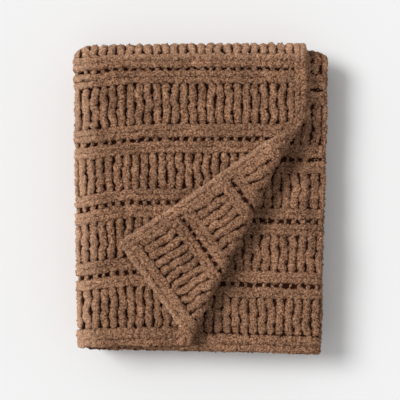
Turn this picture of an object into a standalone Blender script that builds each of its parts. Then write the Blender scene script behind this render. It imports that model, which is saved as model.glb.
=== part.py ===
"""A chunky knit throw, folded in thirds both ways, with one corner of its top sheet turned back.

The throw is one piece of knitting and so one solid. It is modelled flat, as a slab of cloth with its
stitches raised, and then folded: across its width first (top sheet, left fold, second sheet, right
fold, third sheet), then along its length (top strip, back fold, middle strip, front fold, bottom
strip), and last the free corner of the top sheet is rolled over a slanted crease.

Flat cloth: X is the distance from the top sheet's side edge, Y the distance from its hem, and Z the
height over its face. Folded throw: X to the right, Y to the back, Z up. All in metres.
"""

import math
from bisect import bisect
from collections import namedtuple

import bmesh
import bpy
from mathutils import Matrix, Vector

# The cloth, the gaps in the stack, and the rounding of the cloth's own corners
THICKNESS = 0.009
SHEET_GAP = 0.001
STRIP_GAP = 0.0012
CLOTH_CORNER = 0.014

# Where the strips turn, to the back and to the front, and the rounding of the stack's corners
BACK_Y = 0.2606
FRONT_Y = -0.2470
PLAN_CORNER = 0.030
PLAN_EASE = 0.2

# The two ends of the crease on the top sheet, and the turned-back corner: the radius inside its roll,
# how far the roll turns past level before it settles again, and the height at which it comes to rest
CREASE_AT_SIDE = Vector((0.1755, 0.1635))
CREASE_AT_HEM = Vector((-0.0479, -0.2420))
ROLL_INNER = 0.007
ROLL_DIP = math.radians(22)
REST_GAP = 0.0033

# The stitches: how many wales lie side by side, and how far bars and cords stand out
TOP_WALE_COUNT = 23
SECOND_WALE_COUNT = 26
SELVAGE = 0.023
BAR_RAISE = 0.0025
CORD_RAISE = 0.0030
STITCH_SLOPE = 0.0026
SECOND_SHEET_SQUEEZE = 0.922

# Steps in the round stretches, and the angle under which faces count as flat
FOLD_STEPS = 8
BACK_STEPS = 10
BACK_SHOWN_STEPS = 8
ROLL_STEPS = 8
SETTLE_STEPS = 4
FLAT_ANGLE = math.radians(0.6)
ON_LINE = 1e-6
LEAST_EDGE = 0.0003
PLACE_ROUNDS = 6

YARN_COLOUR = (0.282, 0.149, 0.091, 1.0)
YARN_ROUGHNESS = 0.95

# Where the cloth's edges and folds run across X, a row for each end of a strip
Station = namedtuple("Station", "place side left right tuck")
STATIONS = (
    Station("top hem", 0.1755, -0.2030, 0.1990, -0.1900),
    Station("top back", 0.1755, -0.2095, 0.2090, -0.1960),
    Station("middle back", 0.1755, -0.2085, 0.2070, -0.1935),
    Station("middle front", 0.1800, -0.2000, 0.2015, -0.1890),
    Station("bottom front", 0.1780, -0.2010, 0.1995, -0.1880),
    Station("bottom hem", 0.1750, -0.2060, 0.2060, -0.1920),
)

# How far the front and back hems reach in Y, a row for each place where one sheet turns to the next
Hem = namedtuple("Hem", "place front back")
HEMS = (
    Hem("side edge", -0.2424, 0.2410),
    Hem("left fold", -0.2415, 0.2440),
    Hem("right fold", -0.2600, 0.2380),
    Hem("tucked edge", -0.2470, 0.2425),
)

# The bands of knitting along the cloth from its hem: tall bars, a cord, a ladder gap, a cord
Band = namedtuple("Band", "bars cord gap next_cord")
HEM_CORDS = (0.0135, 0.0165)
BANDS = (
    Band(0.066, 0.015, 0.012, 0.023),
    Band(0.063, 0.018, 0.012, 0.020),
    Band(0.058, 0.018, 0.010, 0.022),
    Band(0.066, 0.022, 0.008, 0.022),
    Band(0.064, 0.018, 0.010, 0.020),
)


def running(lengths, start=0.0):
    """Return start and each point reached by adding the lengths to it in turn."""
    points = [start]
    for length in lengths:
        points.append(points[-1] + length)
    return points


def spread(start, end, count):
    """Return count + 1 evenly spaced values from start to end."""
    return [start + (end - start) * i / count for i in range(count + 1)]


def mean(column):
    """Return the mean of one column of the station table."""
    return sum(getattr(row, column) for row in STATIONS) / len(STATIONS)


# The stack's layers: a sheet's outer reach round a fold, and the same for a strip of three sheets
FOLD_REACH = THICKNESS + SHEET_GAP / 2
STRIP = 3 * THICKNESS + 2 * SHEET_GAP
TURN_REACH = STRIP + STRIP_GAP / 2
STACK = 3 * STRIP + 2 * STRIP_GAP
BACK_TURN_Y = BACK_Y - TURN_REACH
FRONT_TURN_Y = FRONT_Y + TURN_REACH

# The flat cloth's landmarks: where each sheet or strip ends and each fold begins
ACROSS = running(
    (
        mean("side") - mean("left") - FOLD_REACH,
        math.pi * FOLD_REACH,
        mean("right") - mean("left") - 2 * FOLD_REACH,
        math.pi * FOLD_REACH,
        mean("right") - mean("tuck") - FOLD_REACH,
    )
)
ALONG = running(
    (
        BACK_TURN_Y - HEMS[0].front,
        math.pi * TURN_REACH,
        BACK_TURN_Y - FRONT_TURN_Y,
        math.pi * TURN_REACH,
        HEMS[0].back - FRONT_TURN_Y,
    )
)
HEM_PLACES = (0.0, (ACROSS[1] + ACROSS[2]) / 2, (ACROSS[3] + ACROSS[4]) / 2, ACROSS[5])

# The stitches' lines on the top sheet and on the second one
TOP_WALES = [SELVAGE / 2, *spread(SELVAGE, ACROSS[1], TOP_WALE_COUNT), (ACROSS[1] + ACROSS[2]) / 2]
SECOND_WALES = [*spread(ACROSS[2], ACROSS[3], SECOND_WALE_COUNT), (ACROSS[3] + ACROSS[4]) / 2]
TOP_ROWS = running([*HEM_CORDS, *(length for band in BANDS for length in band)])
SECOND_ROWS = [row * SECOND_SHEET_SQUEEZE for row in TOP_ROWS]
LAST_ROW = ALONG[1] + (ALONG[2] - ALONG[1]) * BACK_SHOWN_STEPS / BACK_STEPS

# The turned-back corner: the way towards it from the crease, its roll, the gentle curve in which it
# settles on the top sheet, and how much cloth the two take up more than they cover
CREASE = (CREASE_AT_HEM - CREASE_AT_SIDE).normalized()
TO_CORNER = Vector((-CREASE.y, CREASE.x))
ROLL_MIDDLE = ROLL_INNER + THICKNESS / 2
ROLL_TURN = math.pi + ROLL_DIP
ROLL_LENGTH = ROLL_MIDDLE * ROLL_TURN
ROLL_REACH = ROLL_INNER + THICKNESS + BAR_RAISE
ROLL_DROP = ROLL_MIDDLE * (1 + math.cos(ROLL_DIP)) - THICKNESS - REST_GAP
SETTLE_MIDDLE = ROLL_DROP / (1 - math.cos(ROLL_DIP))
SETTLE_LENGTH = SETTLE_MIDDLE * ROLL_DIP
SETTLE_PLACE = -(ROLL_MIDDLE + SETTLE_MIDDLE) * math.sin(ROLL_DIP)
SETTLE_HEIGHT = ROLL_INNER + (ROLL_MIDDLE + SETTLE_MIDDLE) * math.cos(ROLL_DIP)
ROLL_SLACK = ROLL_LENGTH + SETTLE_LENGTH + SETTLE_PLACE


def blend(value, places, amounts):
    """Read a table of amounts at places, with straight runs between its rows."""
    index = min(max(bisect(places, value), 1), len(places) - 1)
    part = (value - places[index - 1]) / (places[index] - places[index - 1])
    return amounts[index - 1] + (amounts[index] - amounts[index - 1]) * part


def edge_x(column, v):
    """Return where an edge or fold of the cloth lies across X, at a distance v along the cloth."""
    return blend(v, ALONG, [getattr(row, column) for row in STATIONS])


def hem_y(column, u):
    """Return where a hem lies in Y, at a distance u across the cloth."""
    return blend(u, HEM_PLACES, [getattr(row, column) for row in HEMS])


def stretch_of(value, marks):
    """Return which stretch between the marks holds a value, and how far along it the value is."""
    index = min(max(bisect(marks, value), 1), len(marks) - 1)
    return index - 1, (value - marks[index - 1]) / (marks[index] - marks[index - 1])


def fold_across(u, v, w):
    """Lay a point of the cloth in its sheet.

    Args:
        u: Distance across the cloth from the top sheet's side edge.
        v: Distance along the cloth from the top strip's hem.
        w: Depth under the cloth's face.

    Returns:
        The point's X, and its depth under the upper face of its strip.
    """
    stretch, part = stretch_of(u, ACROSS)
    side, tuck = edge_x("side", v), edge_x("tuck", v)
    left = edge_x("left", v) + FOLD_REACH
    right = edge_x("right", v) - FOLD_REACH
    turn = math.pi * part
    if stretch == 0:
        return side + (left - side) * part, w
    if stretch == 1:
        reach = FOLD_REACH - w
        return left - reach * math.sin(turn), FOLD_REACH - reach * math.cos(turn)
    if stretch == 2:
        return left + (right - left) * part, 2 * FOLD_REACH - w
    if stretch == 3:
        reach = SHEET_GAP / 2 + w
        middle = 2 * FOLD_REACH + SHEET_GAP / 2
        return right + reach * math.sin(turn), middle - reach * math.cos(turn)
    return right + (tuck - right) * part, 2 * FOLD_REACH + SHEET_GAP + w


def fold_along(u, v, depth):
    """Lay a point of the folded strip in the stack, and return its Y and Z."""
    stretch, part = stretch_of(v, ALONG)
    front, back = hem_y("front", u), hem_y("back", u)
    turn = math.pi * part
    if stretch == 0:
        return front + (BACK_TURN_Y - front) * part, STACK - depth
    if stretch == 1:
        reach = TURN_REACH - depth
        return BACK_TURN_Y + reach * math.sin(turn), STACK - TURN_REACH + reach * math.cos(turn)
    if stretch == 2:
        return BACK_TURN_Y + (FRONT_TURN_Y - BACK_TURN_Y) * part, STACK - 2 * TURN_REACH + depth
    if stretch == 3:
        reach = STRIP_GAP / 2 + depth
        return FRONT_TURN_Y - reach * math.sin(turn), TURN_REACH + reach * math.cos(turn)
    return FRONT_TURN_Y + (back - FRONT_TURN_Y) * part, STRIP - depth


def roll_corner(plan, w):
    """Roll a point of the top sheet over the crease and lay it down again on the sheet.

    Args:
        plan: The point's place seen from above before the corner is turned back.
        w: Depth under the cloth's face.

    Returns:
        The point's place seen from above, and its depth under the top strip's upper face.
    """
    distance = (plan - CREASE_AT_SIDE).dot(TO_CORNER)
    if distance <= 0:
        return plan, w
    if distance < ROLL_LENGTH:
        reach, turn = ROLL_INNER + w, distance / ROLL_MIDDLE
        shift, depth = reach * math.sin(turn), reach * math.cos(turn) - ROLL_INNER
    else:
        settled = distance - ROLL_LENGTH
        reach = SETTLE_MIDDLE + THICKNESS / 2 - w
        turn = max(ROLL_DIP - settled / SETTLE_MIDDLE, 0)
        shift = SETTLE_PLACE + reach * math.sin(turn) - max(settled - SETTLE_LENGTH, 0)
        depth = reach * math.cos(turn) - SETTLE_HEIGHT
    return plan + TO_CORNER * (shift - distance), depth


def round_plan(x, y):
    """Draw in the four corners of the stack, as seen from above."""
    over_x = (abs(x) - mean("right")) / PLAN_CORNER + 1 - PLAN_EASE
    over_y = (abs(y) - BACK_Y) / PLAN_CORNER + 1 - PLAN_EASE
    if over_x <= 0 or over_y <= 0:
        return x, y
    in_x = PLAN_CORNER * over_x * (1 - math.sqrt(1 - over_y**2 / 2))
    in_y = PLAN_CORNER * over_y * (1 - math.sqrt(1 - over_x**2 / 2))
    return x - math.copysign(in_x, x), y - math.copysign(in_y, y)


def folded(flat):
    """Return where a point of the flat slab lies in the folded throw."""
    u, v, w = flat.x, flat.y, -flat.z
    x, depth = fold_across(u, v, w)
    y, z = fold_along(u, v, depth)
    if u < ACROSS[1] and v < ALONG[1]:
        plan, depth = roll_corner(Vector((x, y)), w)
        x, y, z = plan.x, plan.y, STACK - depth
    return Vector((*round_plan(x, y), z))


def flat_place(sheet, plan):
    """Return where a place seen from above lies on the flat cloth, in the top or the second sheet."""
    u, v = 0.0, 0.0
    for _ in range(PLACE_ROUNDS):
        front = hem_y("front", u)
        v = (plan.y - front) / (BACK_TURN_Y - front) * ALONG[1]
        side, left = edge_x("side", v), edge_x("left", v) + FOLD_REACH
        right = edge_x("right", v) - FOLD_REACH
        if sheet == "top":
            u = (plan.x - side) / (left - side) * ACROSS[1]
        else:
            u = ACROSS[2] + (plan.x - left) / (right - left) * (ACROSS[3] - ACROSS[2])
    return Vector((u, v, 0))


Line = namedtuple("Line", "point normal")


def flat_line(sheet, start, end, beyond):
    """Return the line on the flat cloth between two places seen from above, its normal to beyond."""
    start, end, beyond = (flat_place(sheet, plan) for plan in (start, end, beyond))
    along = (end - start).normalized()
    normal = Vector((-along.y, along.x, 0))
    if (beyond - start).dot(normal) < 0:
        normal.negate()
    return Line(start, normal)


def past(line, place):
    """Return how far a place on the flat cloth lies beyond a line."""
    return (place - line.point).dot(line.normal)


# Lines on the flat cloth: the crease, and on the second sheet what the roll and the side edge cover
FREE_CORNER = Vector((CREASE_AT_SIDE.x, CREASE_AT_HEM.y))
CREASE_LINE = flat_line("top", CREASE_AT_SIDE, CREASE_AT_HEM, FREE_CORNER)
ROLL_CLEAR = TO_CORNER * ROLL_REACH
ROLL_SHADE = flat_line("second", CREASE_AT_SIDE + ROLL_CLEAR, CREASE_AT_HEM + ROLL_CLEAR, FREE_CORNER)
SIDE_CLEAR = Vector((CORD_RAISE, 0))
SIDE_AT_BACK = Vector((CREASE_AT_SIDE.x, BACK_TURN_Y))
SIDE_SHADE = flat_line(
    "second", CREASE_AT_SIDE + SIDE_CLEAR, SIDE_AT_BACK + SIDE_CLEAR, SIDE_AT_BACK + 2 * SIDE_CLEAR
)


def cut(bm, point, normal, keep=None):
    """Cut the cloth along a line, everywhere or only in the faces whose middles keep accepts."""
    faces = [face for face in bm.faces if keep is None or keep(face.calc_center_median())]
    edges = {edge for face in faces for edge in face.edges}
    verts = {vert for face in faces for vert in face.verts}
    geometry = [*faces, *edges, *verts]
    bmesh.ops.bisect_plane(bm, geom=geometry, dist=ON_LINE, plane_co=point, plane_no=normal)


def is_on_top(place):
    """Tell whether a place on the flat cloth is in the knitting that shows on the top sheet."""
    return place.x < ACROSS[2] and place.y < LAST_ROW


def is_on_second(place):
    """Tell whether a place on the flat cloth is in the knitting that shows on the second sheet."""
    return ACROSS[2] < place.x < SECOND_WALES[-1] and place.y < LAST_ROW


def flat_sheet():
    """Return the flat sheet with rounded corners, cut where it folds and where its stitches meet."""
    bm = bmesh.new()
    size = Matrix.Diagonal((ACROSS[-1], ALONG[-1], 1, 1)) @ Matrix.Translation((0.5, 0.5, 0))
    bmesh.ops.create_grid(bm, x_segments=1, y_segments=1, size=0.5, matrix=size)
    bmesh.ops.bevel(bm, geom=bm.verts[:], offset=CLOTH_CORNER, segments=2, profile=0.5, affect="VERTICES")
    for start in (1, 3):
        for u in spread(ACROSS[start], ACROSS[start + 1], FOLD_STEPS):
            cut(bm, (u, 0, 0), (1, 0, 0))
    for start, steps in ((1, BACK_STEPS), (3, FOLD_STEPS)):
        for v in spread(ALONG[start], ALONG[start + 1], steps):
            cut(bm, (0, v, 0), (0, 1, 0))
    for wales, rows, keep in ((TOP_WALES, TOP_ROWS, is_on_top), (SECOND_WALES, SECOND_ROWS, is_on_second)):
        for u in wales:
            cut(bm, (u, 0, 0), (1, 0, 0), keep)
        for v in rows:
            cut(bm, (0, v, 0), (0, 1, 0), keep)
    return bm


def thicken(bm):
    """Make the sheet a closed slab, with its face at height 0 and its back under it."""
    extruded = bmesh.ops.extrude_face_region(bm, geom=bm.faces[:], use_keep_orig=True)
    lower = [item for item in extruded["geom"] if isinstance(item, bmesh.types.BMVert)]
    bmesh.ops.translate(bm, verts=lower, vec=(0, 0, -THICKNESS))
    bmesh.ops.recalc_face_normals(bm, faces=bm.faces[:])


def is_bare(place, on_face):
    """Tell whether a place on one side of the cloth shows once the throw is folded."""
    if is_on_top(place):
        beyond = past(CREASE_LINE, place)
        return beyond < ON_LINE if on_face else beyond > ROLL_LENGTH / 2 - ON_LINE
    if is_on_second(place) and not on_face:
        return past(SIDE_SHADE, place) > ON_LINE or past(ROLL_SHADE, place) > ON_LINE
    return False


def is_under_corner(face):
    """Tell whether the turned-back corner covers the whole of a face of the top sheet."""
    for vert in face.verts:
        mirrored = vert.co + (ROLL_SLACK - 2 * past(CREASE_LINE, vert.co)) * CREASE_LINE.normal
        if mirrored.x < 0 or mirrored.y < 0:
            return False
    return True


def stitch_of(face):
    """Return the stitch that a face of the slab belongs to, as a key and a height, or None."""
    middle = face.calc_center_median()
    on_face = face.normal.z > 0
    on_top = is_on_top(middle)
    if abs(face.normal.z) < 0.5 or not any(is_bare(vert.co, on_face) for vert in face.verts):
        return None
    if on_top and on_face and is_under_corner(face):
        return None
    if middle.x < SELVAGE:
        return (on_face, "strand", middle.x < SELVAGE / 2), CORD_RAISE
    rows, wales = (TOP_ROWS, TOP_WALES) if on_top else (SECOND_ROWS, SECOND_WALES)
    row, wale = bisect(rows, middle.y) - 1, bisect(wales, middle.x)
    kind = "cord" if row < len(HEM_CORDS) else Band._fields[(row - len(HEM_CORDS)) % len(Band._fields)]
    if kind == "gap":
        return None
    if kind == "bars":
        return (on_face, on_top, row, wale), BAR_RAISE
    return (on_face, on_top, row), CORD_RAISE


def raise_stitches(bm):
    """Raise the stitches that show: the bars one by one, and each cord and strand as one ridge."""
    stitches = {}
    for face in bm.faces:
        stitch = stitch_of(face)
        if stitch:
            stitches.setdefault(stitch, []).append(face)
    for (_, height), faces in stitches.items():
        bmesh.ops.inset_region(
            bm, faces=faces, thickness=STITCH_SLOPE, depth=height, use_boundary=True, use_even_offset=True
        )


def cut_hidden(bm):
    """Cut the slab round the roll and under what covers it, and press flat what is hidden there."""
    steps = spread(0, ROLL_LENGTH, ROLL_STEPS) + spread(ROLL_LENGTH, ROLL_LENGTH + SETTLE_LENGTH, SETTLE_STEPS)
    for distance in sorted(set(steps)):
        cut(bm, CREASE_LINE.point + CREASE_LINE.normal * distance, CREASE_LINE.normal)
    for line in (ROLL_SHADE, SIDE_SHADE):
        for distance in (0, STITCH_SLOPE):
            cut(bm, line.point + line.normal * distance, line.normal, is_on_second)
    for vert in bm.verts:
        on_face = vert.co.z > -THICKNESS / 2
        if not is_bare(vert.co, on_face):
            vert.co.z = min(max(vert.co.z, -THICKNESS), 0)
    bmesh.ops.remove_doubles(bm, verts=bm.verts[:], dist=LEAST_EDGE)


def fabric():
    """Return the throw's brown chenille as a plain material."""
    material = bpy.data.materials.new("Brown chenille")
    material.use_nodes = True
    shader = material.node_tree.nodes["Principled BSDF"]
    shader.inputs["Base Color"].default_value = YARN_COLOUR
    shader.inputs["Roughness"].default_value = YARN_ROUGHNESS
    shader.inputs["Metallic"].default_value = 0.0
    return material


def centre(bm):
    """Move the folded throw so that the middle of its outline, at its underside, is the origin."""
    middle = [
        (min(vert.co[axis] for vert in bm.verts) + max(vert.co[axis] for vert in bm.verts)) / 2
        for axis in (0, 1)
    ]
    bmesh.ops.translate(bm, verts=bm.verts[:], vec=(-middle[0], -middle[1], 0))


def blanket_mesh():
    """Return the folded throw's mesh."""
    bm = flat_sheet()
    thicken(bm)
    raise_stitches(bm)
    cut_hidden(bm)
    for vert in bm.verts:
        vert.co = folded(vert.co)
    bmesh.ops.reverse_faces(bm, faces=bm.faces[:])
    bmesh.ops.dissolve_limit(bm, angle_limit=FLAT_ANGLE, verts=bm.verts[:], edges=bm.edges[:])
    centre(bm)
    mesh = bpy.data.meshes.new("blanket")
    bm.to_mesh(mesh)
    bm.free()
    return mesh


def main():
    """Build the throw as one object in a collection of its own."""
    for item in list(bpy.data.objects):
        bpy.data.objects.remove(item, do_unlink=True)
    mesh = blanket_mesh()
    mesh.materials.append(fabric())
    blanket = bpy.data.objects.new("blanket", mesh)
    collection = bpy.data.collections.new("Chunky knit throw")
    bpy.context.scene.collection.children.link(collection)
    collection.objects.link(blanket)


main()
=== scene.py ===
"""The looks of a chunky knit throw, folded in thirds both ways with one corner turned back.

The throw is one piece of knitting. It is laid out flat first, on the cloth's own measures: U is the
distance across it from the top sheet's side edge, V the distance along it from its hem, and a height
stands over the middle of its thickness on the side that shows. Every yarn is shaped there, and the
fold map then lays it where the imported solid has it: thirds across, thirds along, and one corner
rolled back over a slanted crease. All sizes are in metres.
"""

import logging
import math
from collections.abc import Callable, Iterable, Sequence
from dataclasses import dataclass, field, replace
from enum import Enum
from functools import partial
from itertools import cycle
from typing import Self

import bmesh
import bpy
import numpy as np
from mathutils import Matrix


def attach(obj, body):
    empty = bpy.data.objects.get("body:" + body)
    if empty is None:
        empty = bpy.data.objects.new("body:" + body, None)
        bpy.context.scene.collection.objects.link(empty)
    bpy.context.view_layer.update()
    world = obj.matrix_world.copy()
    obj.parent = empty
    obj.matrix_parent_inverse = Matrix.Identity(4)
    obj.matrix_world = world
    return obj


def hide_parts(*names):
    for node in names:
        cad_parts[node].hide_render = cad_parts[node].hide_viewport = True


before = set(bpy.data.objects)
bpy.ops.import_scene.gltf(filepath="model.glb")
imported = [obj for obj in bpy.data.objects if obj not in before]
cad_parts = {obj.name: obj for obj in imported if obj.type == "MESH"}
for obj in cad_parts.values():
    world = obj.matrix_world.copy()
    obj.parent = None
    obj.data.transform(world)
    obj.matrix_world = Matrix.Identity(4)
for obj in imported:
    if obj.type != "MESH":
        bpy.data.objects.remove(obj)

log = logging.getLogger("knit_throw")

NODE = "blanket"
BODY = "root"

Array = np.ndarray
Keep = Callable[[Array, Array], Array]
Reach = tuple[float, float]


class Side(Enum):
    """The side of the cloth that a yarn stands on, as the sign of its height in depth."""

    FACE = -1
    BACK = 1


class Sheet(Enum):
    """The layout that a yarn follows: the top sheet's rows sag, and the others' lie closer."""

    TOP = "top sheet and left fold"
    TURNED = "turned-back corner of the top sheet"
    SECOND = "second sheet and all after it"


class Stitch(Enum):
    """What a row of the knitting is made of."""

    HEM = "one thick cord at the cloth's end"
    BARS = "tall bars side by side"
    CORD = "a cord of two strands"
    GAP = "an open ladder between two cords"


@dataclass(frozen=True)
class Row:
    """One row of the knitting: its stitch, and where it starts and ends along the cloth."""

    stitch: Stitch
    start: float
    end: float


def running(lengths: Iterable[float]) -> list[float]:
    """Return 0 and each point reached by adding the lengths to it in turn."""
    return [0.0, *np.cumsum(list(lengths)).tolist()]


def stretch_of(value: Array, marks: Sequence[float]) -> tuple[Array, Array]:
    """Find the stretch between marks that holds each value.

    Args:
        value: Places along the marks.
        marks: The ends of the stretches, in order.

    Returns:
        Each value's stretch, and how far along that stretch it is, past 0 or 1 outside the marks.
    """
    ends = np.asarray(marks)
    index = np.clip(np.searchsorted(ends, value, side="right"), 1, len(ends) - 1)
    return index - 1, (value - ends[index - 1]) / (ends[index] - ends[index - 1])


def smooth(share: Array) -> Array:
    """Ease from 0 to 1 as a share goes from 0 to 1."""
    share = np.clip(share, 0, 1)
    return share**2 * (3 - 2 * share)


def blend(value: Array, places: Sequence[float], amounts: Sequence[float]) -> Array:
    """Read a table of amounts at places, with straight runs between its rows and past its ends.

    Args:
        value: Where the table is read.
        places: The places of its rows, in order.
        amounts: The amounts at those places.

    Returns:
        The amount at each value.
    """
    index, part = stretch_of(value, places)
    table = np.asarray(amounts)
    return table[index] + (table[index + 1] - table[index]) * part


@dataclass(frozen=True)
class Station:
    """Where the cloth's edges and folds run across X at one end of a strip."""

    side: float
    left: float
    right: float
    tuck: float


@dataclass(frozen=True)
class Line:
    """A line on the flat cloth, with its normal towards what lies beyond it."""

    point: Array
    normal: Array

    def past(self, u: Array, v: Array) -> Array:
        """Return how far each place on the flat cloth lies beyond the line."""
        return (u - self.point[0]) * self.normal[0] + (v - self.point[1]) * self.normal[1]


@dataclass(frozen=True)
class CornerRoll:
    """How the corner rolls over its crease and lies down, and how the roll changes down the crease.

    Each table holds an amount for every place, and the places are shares of the crease's length
    from the side edge: the share by which the roll stands up higher, how far it leans back over the
    top sheet, its bulge past the crease as a share of a round roll's, and how far the stack is
    pressed in beside it.
    """

    inner: float = 0.007  # the radius of the roll's hollow
    dip: float = math.radians(22)  # how far past a half turn it rolls before it settles
    rest_gap: float = 0.0033  # the air under the corner where it lies
    places: tuple[float, ...] = (0.0, 0.12, 0.22, 0.36, 0.50, 0.70, 0.80, 0.88, 1.0)
    lifts: tuple[float, ...] = (0.0, 0.15, 0.30, 0.38, 0.38, 0.35, 0.35, 0.30, 0.20)
    leans: tuple[float, ...] = (0.003, 0.010, 0.0115, 0.0095, 0.0045, 0.002, 0.0015, 0.0, 0.0)
    overhangs: tuple[float, ...] = (0.95, 1.10, 1.05, 0.98, 1.02, 0.92, 0.90, 1.0, 1.3)
    dents: tuple[float, ...] = (0.0, 0.018, 0.024, 0.016, 0.009, 0.008, 0.008, 0.004, 0.0)
    side_pinch_reach: float = 0.085  # how far down the crease the roll opens from flat
    hem_pinch_reach: float = 0.070
    hem_pinch: float = 0.6  # how flat the roll lies at the hem, 1 for pressed flat
    lean_reach: float = 0.014
    skew: float = 0.061  # how far the corner slips for each metre across the cloth
    skew_reach: float = 0.030
    dent_rise: float = 0.014  # from the crease to where the dent is deepest
    dent_start: float = 0.026  # from the crease to where it starts to run out
    dent_fall: float = 0.045

    def read(self, table: Sequence[float], share: Array) -> Array:
        """Return what a table gives at shares of the crease's length."""
        return np.interp(share, self.places, table)

    def pinch(self, down: Array, length: float) -> Array:
        """Return how flat the roll lies: fully by the side edge, and in part by the hem.

        Args:
            down: Distances down the crease from the side edge.
            length: The crease's length.

        Returns:
            1 where the roll is pressed flat, 0 where nothing presses it.
        """
        by_side = 1 - smooth(down / self.side_pinch_reach)
        by_hem = 1 - smooth((length - down) / self.hem_pinch_reach)
        return np.maximum(by_side, self.hem_pinch * by_hem)

    def dent(self, past: Array, share: Array) -> Array:
        """Return how far the stack is pressed in beside the roll, most of all near its root.

        Args:
            past: How far each place lies past the crease.
            share: Its share of the crease's length.

        Returns:
            The drop of the stack's top at each place.
        """
        run_out = 1 - smooth((past - self.dent_start) / self.dent_fall)
        return smooth(past / self.dent_rise) * run_out * self.read(self.dents, share)


@dataclass(frozen=True)
class Settling:
    """How the soft stack settles where nothing holds it.

    It sags past the top sheet's side edge, less towards the front, and spreads there. The back and
    front folds draw in towards their left ends.
    """

    drop: float = 0.018
    start: float = 0.170  # the X where the sag starts
    width: float = 0.024
    front_share: float = 0.30  # what is left of the sag towards the front
    front_start: float = 0.02  # the Y where it starts to lessen
    front_length: float = 0.12
    spread: float = 0.0040  # how far the sagging side moves outwards
    back_droop: float = 0.0035  # how far a fold's left end draws in
    front_droop: float = 0.0032
    front_fill: float = 0.5  # the share by which the front fold's right end fills out instead
    droop_power: int = 4  # the higher, the closer a droop keeps to its fold

    def sag(self, x: Array, y: Array) -> Array:
        """Return how far the top of the stack sags.

        Args:
            x: Places across the folded throw.
            y: Places along it.

        Returns:
            The drop of the stack's top at each place.
        """
        forward = smooth((self.front_start - y) / self.front_length)
        amount = self.drop * (1 - (1 - self.front_share) * forward)
        return amount * smooth((x - self.start) / self.width)


@dataclass(frozen=True)
class PaintedEdgeLight:
    """Painted light on the pile: round the left fold, and less at the back fold and a rim."""

    fold_reach: float = 0.020
    back_start: float = 0.018  # how far into the back fold it opens to its full share
    back_reach: float = 0.012
    back_share: float = 0.55
    rim_reach: float = 0.009
    rim_share: float = 0.45


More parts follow.
